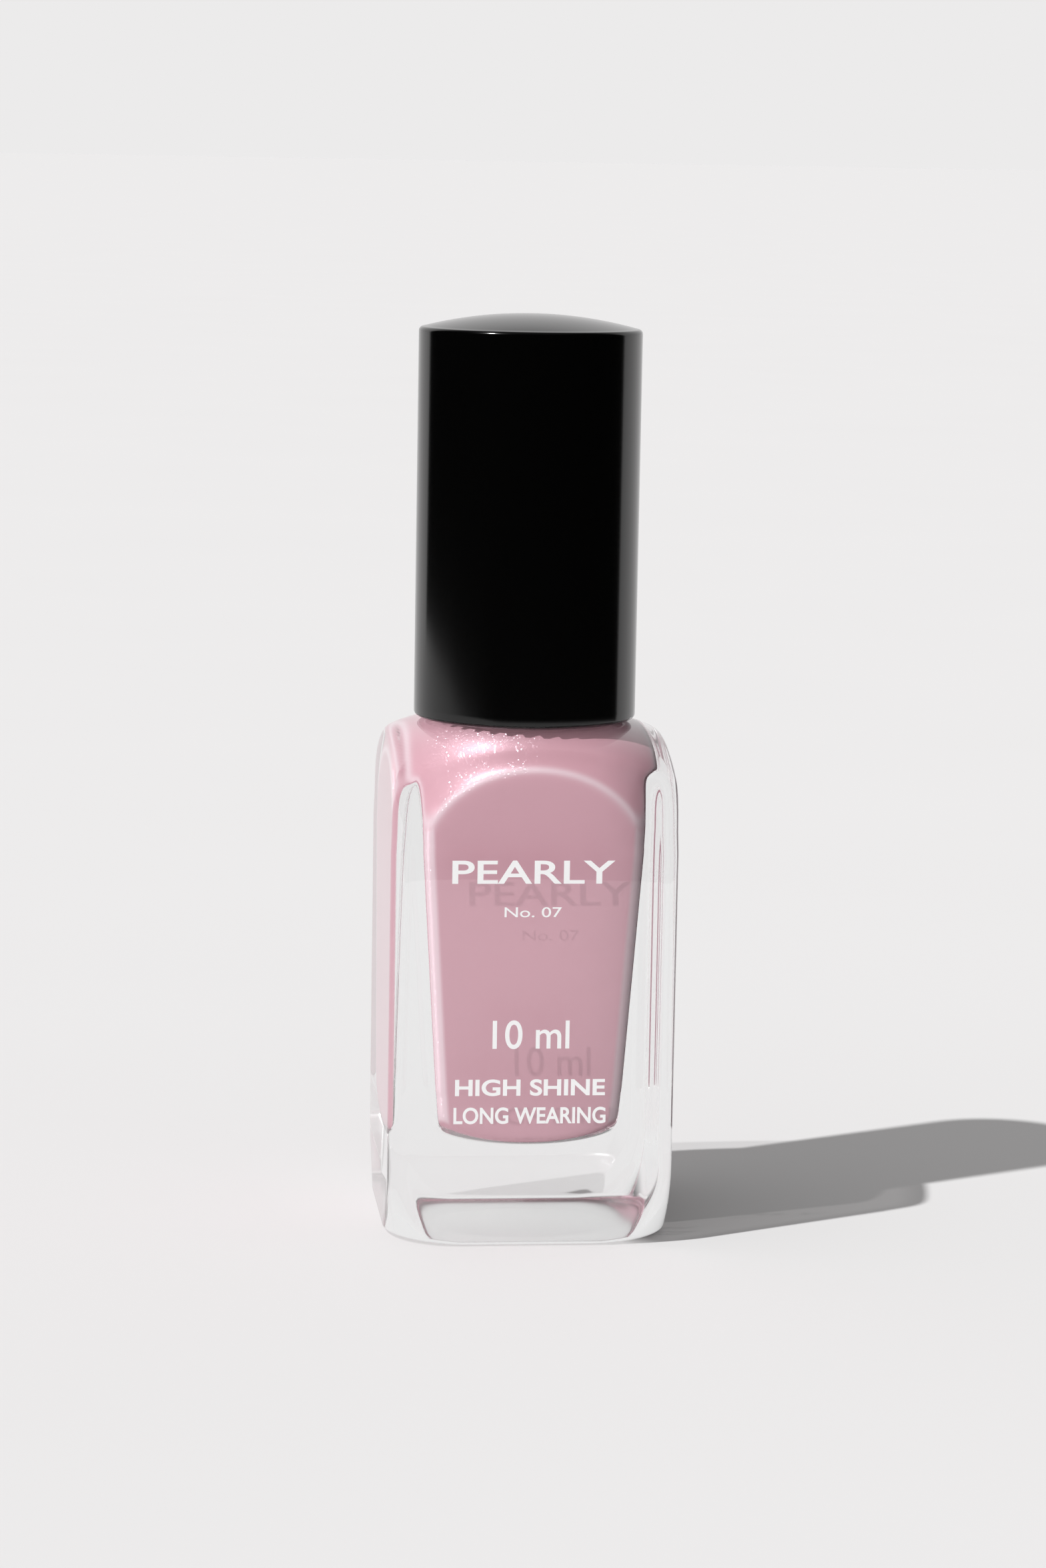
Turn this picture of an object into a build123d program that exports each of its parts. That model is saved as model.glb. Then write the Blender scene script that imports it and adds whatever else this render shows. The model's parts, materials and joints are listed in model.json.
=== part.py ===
"""Nail polish bottle: square glass bottle, screw closure with its brush, lacquer and mixing balls.

Millimetres, +Z up. The origin is the middle of the base, on the surface that the bottle stands on.
The closure turns about Z on a right-hand thread, so turning it anticlockwise from above lifts it.
"""
from build123d import *
import math
import os

# ---- glass body
BODY_W = 24.7            # width of each square side
BODY_CORNER_R = 1.7      # upright corners
HEEL_R = 1.4             # rounding between the sides and the base
SHOULDER_Z = 44.2        # top of the shoulder
PUSH_UP_R = 8.0          # hollow under the base that keeps the bottle standing on its rim
PUSH_UP_DEPTH = 0.15
BASE_ROUND = [(14.65, 0.0), (16.1, 3.2), (16.8, 7.0)]     # trims the lower corners, (radius, height)
SHOULDER_FOOT_Z = 35.7   # the shoulder is a flattened dome of this foot, inner radius and reach
SHOULDER_R0 = 8.0
SHOULDER_REACH = 11.5
SHOULDER_POWER = 1.65

# ---- cavity of the body: a square that widens upwards, under a round dome and over a bowl
CAVITY_HALF = 9.35       # half width at CAVITY_HALF_Z
CAVITY_HALF_Z = 32.0
CAVITY_DRAW = 0.066      # half width gained for each millimetre upwards
CAVITY_CORNER_R = 1.1
CAVITY_FLOOR_Z = 7.5
BOWL_R = 12.2
BOWL_RISE = 6.0
DOME_FOOT_Z = 33.0
DOME_TOP_Z = 43.1
DOME_REACH = 9.5

# ---- neck finish, 15 mm class with a 12 per inch thread
NECK_R = 6.6
NECK_HEIGHT = 14.1
BORE_R = 4.25
RIM_R = 0.7
THREAD_PITCH = 25.4 / 12
THREAD_TURNS = 1.5
THREAD_CREST_R = 7.32
THREAD_ROOT_WIDTH = 1.25
THREAD_CREST_WIDTH = 0.55
THREAD_START_Z = 52.6    # middle of the thread where it begins, on +X
THREAD_SEAT = 0.24       # how far the inner cap's thread sits above the middle of its groove

# ---- overcap
CAP_R = 9.65
CAP_WALL = 1.0
CAP_Z0 = 44.4
CAP_RIM_Z = 78.0
CAP_DOME = 1.3
CAP_ROOF = 1.2
CAP_EDGE_R = 0.35
STOP_RIBS = 6
STOP_RIB_WIDTH = 0.9
STOP_RIB_DEPTH = 0.9

# ---- inner cap
INNER_Z0 = 44.8
INNER_WALL_R = 8.2       # outside of its skirt, between the splines
INNER_ROOT_R = 7.6       # inside of its skirt, at the root of the thread
INNER_CREST_R = 6.78
INNER_PLATE = 1.2
SPLINES = 36
SPLINE_WIDTH = 0.55
SPLINE_GRIP = 0.02       # how far the splines bite into the overcap

# ---- brush stem
FLANGE_R = 6.5
FLANGE = 0.9
FLANGE_GAP = 0.03        # under the flange when the closure is screwed down
PLUG_R = 4.05
PLUG_DEPTH = 2.2
PLUG_LEAD = 0.7          # chamfer that guides the plug into the bore
SHANK_R = 1.9
SHANK_GAP = 0.05
HEAD_R = 2.3             # snap head, pushed up through the inner cap's hole
HEAD_RIM = 0.3
HEAD_TIP_R = 1.4
HEAD = 1.1
STEM_TOP_R = 1.75
STEM_END_R = 1.45
STEM_END_Z = 26.0
STEM_NECK = 1.5          # height of the cone between the plug and the rod
SOCKET_R = 1.05
SOCKET_DEPTH = 4.0

# ---- bristles
TUFT_TIP_Z = 10.4
TUFT_BELLY_Z = 14.9
TUFT_BELLY_R = 1.9
TUFT_ROUND_Z = 11.6      # where the tip starts to round in
TUFT_ROUND_R = 1.5
TUFT_TIP_R = 0.9
STAPLE_THICK = 0.35
STAPLE_HEIGHT = 1.6
STAPLE_BITE = 0.12       # how far each end is driven into the socket wall

# ---- lacquer and mixing balls
FILL_Z = 46.0
WELL_R = 2.3             # the brush moves in this well
WELL_GAP = 0.3           # between the bristle tip and the well's floor
BALL_R = 2.0
BALL_OFFSET = 5.6
BALL_GAP = 0.02          # under a resting ball
BALL_CHANNEL_R = 2.06

RIM_Z = SHOULDER_Z + NECK_HEIGHT
FLANGE_Z = RIM_Z + FLANGE_GAP
PLATE_Z = FLANGE_Z + FLANGE + SHANK_GAP
INNER_TOP_Z = PLATE_Z + INNER_PLATE
OVERLAP = 0.15           # how far a joined feature reaches into its parent


def rounded_square(half, corner, z):
    """Flat face: a square of the given half width with round corners, at height z."""
    return Plane.XY.offset(z) * RectangleRounded(2 * half, 2 * half, corner)


def cylinder(r, z0, z1):
    """Upright cylinder between two heights, on the Z axis."""
    return Pos(0, 0, (z0 + z1) / 2) * Cylinder(r, z1 - z0)


def revolved(points):
    """Solid of revolution about Z from an outline of (radius, height) points."""
    outline = Plane.XZ * make_face(Polyline(*points, close=True))
    return revolve(outline, Axis.Z)


def spun(curve, *corners):
    """Solid of revolution about Z, bounded by a smooth curve and then by straight lines."""
    outline = Spline(*curve) + Polyline(curve[-1], *corners, curve[0])
    return revolve(Plane.XZ * make_face(outline), Axis.Z)


def edges_at(solid, z):
    """Edges that lie flat at height z."""
    return solid.edges().filter_by(lambda e: abs(e.bounding_box().min.Z - z) < 1e-3
                                   and abs(e.bounding_box().max.Z - z) < 1e-3)


def thread_ridge(root_r, crest_r, start_z, start_deg, turns):
    """Right-hand trapezoidal ridge from root_r to crest_r, wound up a helix about Z."""
    path = Helix(THREAD_PITCH, THREAD_PITCH * turns, root_r)
    outward = math.copysign(1, crest_r - root_r)
    depth = abs(crest_r - root_r)
    section = make_face(Polyline(
        (-OVERLAP, -THREAD_ROOT_WIDTH / 2),
        (depth, -THREAD_CREST_WIDTH / 2),
        (depth, THREAD_CREST_WIDTH / 2),
        (-OVERLAP, THREAD_ROOT_WIDTH / 2),
        close=True,
    ))
    frame = Plane(origin=(root_r, 0, 0), x_dir=(outward, 0, 0), z_dir=path % 0)
    ridge = sweep(frame * section, path=path, is_frenet=True)
    return Pos(0, 0, start_z) * Rot(0, 0, start_deg) * ridge


def bowl_z(r):
    """Height of the cavity floor at a distance from the axis."""
    return CAVITY_FLOOR_Z + BOWL_RISE * (1 - (1 - (r / BOWL_R) ** 2.6) ** (1 / 2.2))


def make_cavity():
    """Space inside the body and the neck, up to the rim."""
    sections = []
    for z in (CAVITY_FLOOR_Z - 1, DOME_TOP_Z + 1):
        half = CAVITY_HALF + (z - CAVITY_HALF_Z) * CAVITY_DRAW
        sections.append(rounded_square(half, CAVITY_CORNER_R, z))
    top = 2 * BODY_W
    bowl = [(BOWL_R * t, bowl_z(BOWL_R * t)) for t in (0, 0.2, 0.35, 0.5, 0.65, 0.78, 0.88, 0.95, 0.98)]
    space = loft(sections) & spun(bowl, (BOWL_R * 2, bowl[-1][1] + 0.2), (BOWL_R * 2, top), (0, top))
    dome = []
    for degrees in range(0, 91, 10):
        turn = math.radians(degrees)
        rise = (DOME_TOP_Z - DOME_FOOT_Z) * math.sin(turn)
        dome.append((BORE_R + DOME_REACH * math.cos(turn), DOME_FOOT_Z + rise))
    foot = (BOWL_R * 2, DOME_FOOT_Z)
    space &= spun(dome, (0, DOME_TOP_Z), (0, 0), (BOWL_R * 2, 0), foot)
    return space + cylinder(BORE_R, DOME_TOP_Z - 1, RIM_Z + 1)


def make_body():
    """Outside of the body: a square block with a rounded heel, trimmed by its base and shoulder."""
    body = extrude(rounded_square(BODY_W / 2, BODY_CORNER_R, 0), SHOULDER_Z)
    body = fillet(edges_at(body, 0), HEEL_R)
    wide = 2 * BODY_W
    body &= spun(BASE_ROUND, (wide, BASE_ROUND[-1][1] + 1), (wide, wide), (0, wide), (0, 0))
    shoulder = []
    for t in (0, 0.35, 0.6, 0.75, 0.86, 0.93, 0.97, 0.99, 1):
        reach = (1 - t ** SHOULDER_POWER) ** (1 / SHOULDER_POWER)
        height = SHOULDER_FOOT_Z + (SHOULDER_Z - SHOULDER_FOOT_Z) * t
        shoulder.append((SHOULDER_R0 + SHOULDER_REACH * reach, height))
    return body & spun(shoulder, (0, SHOULDER_Z), (0, -1), (wide, -1), (wide, SHOULDER_FOOT_Z))


def make_bottle(cavity):
    """Moulded glass bottle: heavy base, thin shoulder, threaded neck."""
    neck = cylinder(NECK_R, SHOULDER_Z - 0.5, RIM_Z)
    neck = fillet(edges_at(neck, RIM_Z), RIM_R)
    dish_r = (PUSH_UP_R ** 2 + PUSH_UP_DEPTH ** 2) / (2 * PUSH_UP_DEPTH)
    dish = Pos(0, 0, PUSH_UP_DEPTH - dish_r) * Sphere(dish_r)
    ridge = thread_ridge(NECK_R, THREAD_CREST_R, THREAD_START_Z, 0, THREAD_TURNS)
    return make_body() + neck + ridge - cavity - dish


def make_lacquer(cavity):
    """Lacquer as poured, with the well that the brush sweeps and a channel for each ball."""
    top = Pos(0, 0, FILL_Z + BODY_W / 2) * Box(2 * BODY_W, 2 * BODY_W, BODY_W)
    lacquer = cavity - top
    lacquer -= cylinder(WELL_R, TUFT_TIP_Z - WELL_GAP, FILL_Z + 1)
    for side in (-1, 1):
        x = side * BALL_OFFSET
        lacquer -= Pos(x, 0, 0) * cylinder(BALL_CHANNEL_R, ball_rest_z(), FILL_Z + 1)
        lacquer -= Pos(x, 0, ball_rest_z()) * Sphere(BALL_CHANNEL_R)
    return lacquer


def ball_rest_z():
    """Height of a ball's middle when its channel just touches the bowl of the cavity floor."""
    heights = []
    for step in range(-100, 101):
        reach = BALL_CHANNEL_R * step / 100
        rise = math.sqrt(BALL_CHANNEL_R ** 2 - reach ** 2)
        heights.append(bowl_z(BALL_OFFSET + reach) + rise)
    return max(heights)


def make_overcap():
    """Glossy outer cap: a plain tube closed by a slightly domed roof, with stop ribs inside."""
    dome_r = (CAP_R ** 2 + CAP_DOME ** 2) / (2 * CAP_DOME)
    tube = cylinder(CAP_R, CAP_Z0, CAP_RIM_Z + CAP_DOME)
    dome = Pos(0, 0, CAP_RIM_Z + CAP_DOME - dome_r) * Sphere(dome_r)
    shell = tube & dome
    shell = fillet(shell.edges().filter_by(GeomType.CIRCLE), CAP_EDGE_R)
    bore_r = CAP_R - CAP_WALL
    roof_z = CAP_RIM_Z - CAP_ROOF
    shell -= cylinder(bore_r, CAP_Z0 - 1, roof_z)
    rib_length = roof_z - INNER_TOP_Z
    rib_x = bore_r - STOP_RIB_DEPTH / 2
    for turn in range(STOP_RIBS):
        rib = Box(STOP_RIB_DEPTH + OVERLAP, STOP_RIB_WIDTH, rib_length)
        rib = Pos(rib_x + OVERLAP / 2, 0, INNER_TOP_Z + rib_length / 2) * rib
        shell += Rot(0, 0, 360 / STOP_RIBS * turn) * rib
    return shell


def make_inner_cap():
    """Polypropylene inner cap: thread inside, splines outside, a hole for the stem's head."""
    skirt = cylinder(INNER_WALL_R, INNER_Z0, INNER_TOP_Z)
    skirt -= cylinder(INNER_ROOT_R, INNER_Z0 - 1, PLATE_Z)
    skirt -= cylinder(SHANK_R + SHANK_GAP, PLATE_Z - 1, INNER_TOP_Z + 1)
    start_z = THREAD_START_Z - THREAD_PITCH * (0.5 + 0.25) + THREAD_SEAT
    skirt += thread_ridge(INNER_ROOT_R, INNER_CREST_R, start_z, -90, THREAD_TURNS)
    crest_r = CAP_R - CAP_WALL + SPLINE_GRIP
    depth = crest_r - INNER_WALL_R + OVERLAP
    height = INNER_TOP_Z - INNER_Z0
    spline = Pos(crest_r - depth / 2, 0, INNER_Z0 + height / 2) * Box(depth, SPLINE_WIDTH, height)
    splines = [Rot(0, 0, 360 / SPLINES * turn) * spline for turn in range(SPLINES)]
    return skirt + splines


def make_brush_stem():
    """Moulded stem: snap head, sealing flange and plug, and a tapered rod with a bristle socket."""
    plug_z = RIM_Z - PLUG_DEPTH
    outline = [
        (0, STEM_END_Z),
        (STEM_END_R, STEM_END_Z),
        (STEM_TOP_R, plug_z - STEM_NECK),
        (PLUG_R - PLUG_LEAD, plug_z),
        (PLUG_R, plug_z + PLUG_LEAD),
        (PLUG_R, FLANGE_Z),
        (FLANGE_R, FLANGE_Z),
        (FLANGE_R, FLANGE_Z + FLANGE),
        (SHANK_R, FLANGE_Z + FLANGE),
        (SHANK_R, INNER_TOP_Z + SHANK_GAP),
        (HEAD_R, INNER_TOP_Z + SHANK_GAP),
        (HEAD_R, INNER_TOP_Z + SHANK_GAP + HEAD_RIM),
        (HEAD_TIP_R, INNER_TOP_Z + SHANK_GAP + HEAD),
        (0, INNER_TOP_Z + SHANK_GAP + HEAD),
    ]
    stem = revolved(outline)
    return stem - cylinder(SOCKET_R, STEM_END_Z - 1, STEM_END_Z + SOCKET_DEPTH)


def make_staple():
    """Flat metal anchor, driven across the socket over the folded middle of the bristles."""
    z = STEM_END_Z + SOCKET_DEPTH - STAPLE_HEIGHT / 2
    return Pos(0, 0, z) * Box(2 * (SOCKET_R + STAPLE_BITE), STAPLE_THICK, STAPLE_HEIGHT)


def make_tuft(staple):
    """Bristle bundle: held in the socket, swelling to a belly and rounded off at the tip."""
    root = [(0, STEM_END_Z + SOCKET_DEPTH), (SOCKET_R, STEM_END_Z + SOCKET_DEPTH)]
    side = [(SOCKET_R, STEM_END_Z), (TUFT_BELLY_R, TUFT_BELLY_Z)]
    tip = [(TUFT_ROUND_R, TUFT_ROUND_Z), (TUFT_TIP_R, TUFT_TIP_Z), (0, TUFT_TIP_Z)]
    return revolved(root + side + tip) - staple


def make_ball(side):
    """Stainless mixing ball, lying on the cavity floor."""
    return Pos(side * BALL_OFFSET, 0, ball_rest_z() + BALL_GAP) * Sphere(BALL_R)


os.makedirs("parts", exist_ok=True)

cavity = make_cavity()
staple = make_staple()
nodes = {
    "bottle": make_bottle(cavity),
    "lacquer": make_lacquer(cavity),
    "mixing_ball_1": make_ball(-1),
    "mixing_ball_2": make_ball(1),
    "overcap": make_overcap(),
    "inner_cap": make_inner_cap(),
    "brush_stem": make_brush_stem(),
    "tuft_staple": staple,
    "brush_tuft": make_tuft(staple),
}
for name, solid in nodes.items():
    export_step(solid, f"parts/{name}.step")
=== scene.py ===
import bpy
import json
import math
import numpy as np
from mathutils import Matrix, Vector

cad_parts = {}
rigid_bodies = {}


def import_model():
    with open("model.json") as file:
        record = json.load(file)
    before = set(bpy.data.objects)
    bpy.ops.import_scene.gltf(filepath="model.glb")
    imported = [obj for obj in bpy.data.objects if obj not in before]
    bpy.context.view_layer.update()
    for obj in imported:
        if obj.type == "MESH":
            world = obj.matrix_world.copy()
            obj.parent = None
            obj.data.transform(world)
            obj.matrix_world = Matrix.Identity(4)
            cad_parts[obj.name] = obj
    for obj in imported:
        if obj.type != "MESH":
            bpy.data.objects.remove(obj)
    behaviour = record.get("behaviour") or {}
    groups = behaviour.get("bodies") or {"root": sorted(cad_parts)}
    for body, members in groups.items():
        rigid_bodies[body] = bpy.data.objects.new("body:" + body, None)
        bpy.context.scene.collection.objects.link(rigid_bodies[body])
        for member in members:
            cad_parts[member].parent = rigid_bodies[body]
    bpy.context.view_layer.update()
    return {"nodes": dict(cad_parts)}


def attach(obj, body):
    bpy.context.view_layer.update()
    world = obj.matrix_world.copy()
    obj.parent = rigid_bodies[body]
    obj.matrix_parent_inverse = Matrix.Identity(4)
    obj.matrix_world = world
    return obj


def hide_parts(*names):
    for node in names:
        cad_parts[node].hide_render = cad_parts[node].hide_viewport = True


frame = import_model()

# ---- Camera
# A tripod camera with a short telephoto lens, a little above the cap and looking slightly down.
# It stands left of the front face's own middle, so that a sliver of the left side shows.
MM = 0.001
LENS_MM = 95.09
CAMERA_DISTANCE = 358.5 * MM
CAMERA_HEIGHT = 93.3 * MM
CAMERA_DOWN = math.radians(8.72)
CAMERA_ROLL = math.radians(1.0)
BOTTLE_TURN = math.radians(6.1)

heading = Matrix.Rotation(-BOTTLE_TURN, 3, "Z")
forward = heading @ Vector((0, math.cos(CAMERA_DOWN), -math.sin(CAMERA_DOWN)))
level = heading @ Vector((1, 0, 0))
upright = level.cross(forward)
right = level * math.cos(CAMERA_ROLL) + upright * math.sin(CAMERA_ROLL)
above = upright * math.cos(CAMERA_ROLL) - level * math.sin(CAMERA_ROLL)
camera_data = bpy.data.cameras.new("camera")
camera_data.sensor_fit = "VERTICAL"
camera_data.sensor_height = 36
camera_data.lens = LENS_MM
camera = bpy.data.objects.new("camera", camera_data)
turn = Matrix((right, above, -forward)).transposed().to_4x4()
camera.matrix_world = Matrix.Translation(heading @ Vector((0, -CAMERA_DISTANCE, CAMERA_HEIGHT))) @ turn
bpy.context.collection.objects.link(camera)
bpy.context.scene.camera = camera


# ---- Studio
# A pale matt floor under a pale sky that is brightest at the horizon, and one small hard key lamp far
# off to the front left. A black card in front shows only in gloss and keeps the cap's face dark. Three
# lamps that light only the lacquer stand for the key's light after the glass has bent it.
FLOOR_HEX = "#e4e3e3"
SKY_HORIZON_HEX = "#ecebeb"
SKY_TOP = 0.11
SKY_CLIMB_START = 0.4
SKY_CLIMB_END = 0.85
KEY_STRENGTH = 2.69
KEY_ELEVATION = math.radians(55)
KEY_TRAVEL = math.radians(32)
KEY_SIZE = math.radians(1.0)
FACE_SHARE = 0.23
SHOULDER_SHARE = 0.74
SIDE_SHARE = 0.17
OFF_SIDE_TRAVEL = (0.95, 0.25, 0.18)
GLASS_IOR = 1.52
FLOOR_REACH = 30.0
AIR_FILM = 0.03 * MM
CARD_DISTANCE = 0.2
CARD_HEIGHT = 0.5
CARD_LEFT = math.radians(-124)
CARD_RIGHT = math.radians(110)
CARD_FOOT_DEGREES = [-124, -85, -50, -25]
CARD_FOOT_MM = [30, 24, 14, 0]
CARD_POSTS = 47


def linear(text):
    """An sRGB hex colour as linear red, green, blue and alpha."""
    values = [int(text[i:i + 2], 16) / 255 for i in (1, 3, 5)]
    return [v / 12.92 if v <= 0.04045 else ((v + 0.055) / 1.055) ** 2.4 for v in values] + [1]


def add_node(tree, kind, settings={}, **inputs):
    """A node of that kind with its settings; each input is a value, or a socket to link from."""
    node = tree.nodes.new(kind)
    for key, value in settings.items():
        setattr(node, key, value)
    for key, value in inputs.items():
        socket = node.inputs[int(key[2:])] if key[:2] == "in" else node.inputs[key.replace("_", " ")]
        if isinstance(value, bpy.types.NodeSocket):
            tree.links.new(value, socket)
        else:
            socket.default_value = value
    return node


def new_material(name):
    """An empty node material and its output node."""
    material = bpy.data.materials.new(name)
    material.use_nodes = True
    material.node_tree.nodes.clear()
    return material, material.node_tree, material.node_tree.nodes.new("ShaderNodeOutputMaterial")


def plane(name, corners, material):
    """A four-cornered sheet."""
    mesh = bpy.data.meshes.new(name)
    mesh.from_pydata(corners, [], [(0, 1, 2, 3)])
    mesh.materials.append(material)
    sheet = bpy.data.objects.new(name, mesh)
    bpy.context.collection.objects.link(sheet)
    return sheet


floor_matt, tree, out = new_material("matt_paper_pale_grey")
# Uncoated paper: pale grey and matt, with a very faint mottle.
grain = add_node(tree, "ShaderNodeTexNoise", Scale=900.0, Detail=2.0)
shade = add_node(tree, "ShaderNodeMapRange", in0=grain.outputs["Fac"], in3=0.985, in4=1.0)
paper = add_node(tree, "ShaderNodeMix", {"data_type": "RGBA", "blend_type": "MULTIPLY"}, in0=1.0,
                 in6=linear(FLOOR_HEX), in7=shade.outputs[0])
skin = add_node(tree, "ShaderNodeBsdfDiffuse", Color=paper.outputs[2])
tree.links.new(skin.outputs[0], out.inputs[0])
signs = ((-1, -1), (1, -1), (1, 1), (-1, 1))
corners = [(x * FLOOR_REACH, y * FLOOR_REACH, -AIR_FILM) for x, y in signs]
floor = plane("floor", corners, floor_matt)

card_black, tree, out = new_material("black_card")
# Matt black card: it gives back next to no light.
skin = add_node(tree, "ShaderNodeBsdfDiffuse", Color=linear("#060606"))
tree.links.new(skin.outputs[0], out.inputs[0])
sweep = np.linspace(CARD_LEFT, CARD_RIGHT, CARD_POSTS)
ring = np.stack([CARD_DISTANCE * np.sin(sweep), -CARD_DISTANCE * np.cos(sweep)], 1)
ring = ring @ np.array(heading.to_2x2()).T
foot = MM * np.interp(np.degrees(sweep), CARD_FOOT_DEGREES, CARD_FOOT_MM)
lower, upper = (np.column_stack([ring, h]).tolist() for h in (foot, foot * 0 + CARD_HEIGHT))
mesh = bpy.data.meshes.new("black_card")
panels = [(k, k + 1, k + 1 + CARD_POSTS, k + CARD_POSTS) for k in range(CARD_POSTS - 1)]
mesh.from_pydata(lower + upper, [], panels)
mesh.materials.append(card_black)
card = bpy.data.objects.new("black_card", mesh)
bpy.context.collection.objects.link(card)
card.visible_camera = False
card.visible_transmission = False
card.visible_diffuse = False
card.visible_shadow = False

world = bpy.data.worlds.new("studio_sky")
world.use_nodes = True
tree = world.node_tree
tree.nodes.clear()
place = add_node(tree, "ShaderNodeTexCoord")
split = add_node(tree, "ShaderNodeSeparateXYZ", Vector=place.outputs["Generated"])
climb = add_node(tree, "ShaderNodeMapRange", {"interpolation_type": "SMOOTHSTEP"},
                 in0=split.outputs["Z"], in1=SKY_CLIMB_START, in2=SKY_CLIMB_END)
top = [SKY_TOP, SKY_TOP, SKY_TOP, 1]
sky = add_node(tree, "ShaderNodeMix", {"data_type": "RGBA"}, in0=climb.outputs[0],
               in6=linear(SKY_HORIZON_HEX), in7=top)
glow = add_node(tree, "ShaderNodeBackground", Color=sky.outputs[2])
tree.links.new(glow.outputs[0], add_node(tree, "ShaderNodeOutputWorld").inputs[0])
bpy.context.scene.world = world


def sun(name, strength, travel):
    """A far round lamp whose light travels that way, in the camera's heading."""
    data = bpy.data.lights.new(name, "SUN")
    data.energy = strength
    data.angle = KEY_SIZE
    lamp = bpy.data.objects.new(name, data)
    lamp.rotation_euler = (heading @ Vector(travel)).to_track_quat("-Z", "Y").to_euler()
    bpy.context.collection.objects.link(lamp)
    return lamp


travel = (math.cos(KEY_TRAVEL) * math.cos(KEY_ELEVATION),
          math.sin(KEY_TRAVEL) * math.cos(KEY_ELEVATION), -math.sin(KEY_ELEVATION))
key = sun("key", KEY_STRENGTH, travel)
side_on, inward, downward = (part / GLASS_IOR for part in travel)
bent_by_face = (side_on, math.sqrt(1 - side_on ** 2 - downward ** 2), downward)
bent_by_shoulder = (side_on, inward, -math.sqrt(1 - side_on ** 2 - inward ** 2))
key_through_face = sun("key_through_face", KEY_STRENGTH * FACE_SHARE, bent_by_face)
key_through_shoulder = sun("key_through_shoulder", KEY_STRENGTH * SHOULDER_SHARE, bent_by_shoulder)
key_off_side = sun("key_off_side", KEY_STRENGTH * SIDE_SHARE, OFF_SIDE_TRAVEL)
in_glass = bpy.data.collections.new("lit_through_glass")
in_air = bpy.data.collections.new("lit_in_air")
casts_on_lacquer = bpy.data.collections.new("casts_on_lacquer")
casts_off_side = bpy.data.collections.new("casts_off_side")
key.light_linking.receiver_collection = in_air
for lamp in (key_through_face, key_through_shoulder, key_off_side):
    lamp.light_linking.receiver_collection = in_glass
    lamp.light_linking.blocker_collection = casts_on_lacquer
key_off_side.light_linking.blocker_collection = casts_off_side
bpy.context.scene.view_settings.view_transform = "Standard"
# Light crosses the thick glass many times before it gets out, so its paths may be long.
bpy.context.scene.cycles.max_bounces = 24
bpy.context.scene.cycles.glossy_bounces = 12


# ---- Glass bottle
# Flint glass, blown in a square mould: a thick clear base, walls that thin out towards the shoulder,
# and a round neck with the screw thread moulded on. One closed surface covers outside and cavity.
BODY_HALF = 12.33
BODY_CORNER = 1.7
HEEL = 0.6
BASE_CORNER = 5.0
PUSH_UP_R = 8.0
PUSH_UP = 0.15
SHOULDER_Z = 44.2
NECK_R = 6.6
BORE_R = 4.25
RIM_Z = 58.3
RIM_ROUND = 0.7
DRAW_IN = 0.14
DRAW_FOOT = 33
DRAW_RISE = 9
DOME_FOOT = 35.7
DOME_R = 8.0
DOME_REACH = 11.5
DOME_POWER = 1.65
DOME_EDGE = 1.0
NECK_FOOT_Z = 45.0
NECK_FOOT_R = 7.75
NECK_FOOT_RISE = 0.75
THREAD_PITCH = 25.4 / 12
THREAD_CREST = 7.32 - NECK_R
THREAD_Z = 52.6
THREAD_TURNS = 1.5
THREAD_HALF = 0.62
SHOULDER_FOOT = 33.0
CAVITY_TOP = 43.1
CAVITY_REACH = 9.5
CAVITY_HALF = 9.35
CAVITY_MIDDLE = 32
CAVITY_DRAW = 0.066
CAVITY_CORNER = 1.1
CAVITY_EDGE = 0.5
EDGE_WIDTH = 0.35
NO_LIMIT = 30
FLOOR_Z = 7.5
BOWL_RISE = 6.0
BOWL_R = 12.2
COLUMNS = 480


def column_angles(count, crowd=0.75):
    """Angles round the axis, crowded towards the four upright corners."""
    even = np.linspace(0, 2 * math.pi, count, endpoint=False)
    return even + crowd / 4 * np.sin(4 * even)


def rounded_square(angle, half, corner):
    """Distance from the axis to a rounded square at each angle: half over the cosine on a flat side,
    and the far root of the corner circle beyond it."""
    folded = np.abs((angle + math.pi / 4) % (math.pi / 2) - math.pi / 4)
    flat = half / np.cos(folded)
    centre = half - corner
    along = centre * (np.cos(folded) + np.sin(folded))
    arc = along + np.sqrt(np.maximum(along ** 2 - 2 * centre ** 2 + corner ** 2, 0))
    return np.where(flat * np.sin(folded) <= centre, flat, arc)


def soft_min(a, b, blend):
    """The smaller of two lengths, rounded over where they cross: their mean less half the root of
    their squared difference plus the blend squared."""
    return 0.5 * (a + b - np.sqrt((a - b) ** 2 + blend ** 2))


def helix_ridge(angle, height, start_z, turns, crest, half_width, fade=0.12):
    """Thread height on a cylinder: a rounded crest along z = start + pitch x turns, which sinks away
    over the first and last share of its length."""
    rise = np.zeros(np.broadcast(angle, height).shape)
    for lap in range(math.ceil(turns) + 1):
        along = angle / (2 * math.pi) + lap
        middle = start_z + THREAD_PITCH * along
        across = np.clip(1 - ((height - middle) / half_width) ** 2, 0, 1) ** 0.75
        ends = np.clip(np.minimum(along, turns - along) / fade, 0, 1)
        rise = np.maximum(rise, crest * across * ends * ends * (3 - 2 * ends))
    return rise


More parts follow.
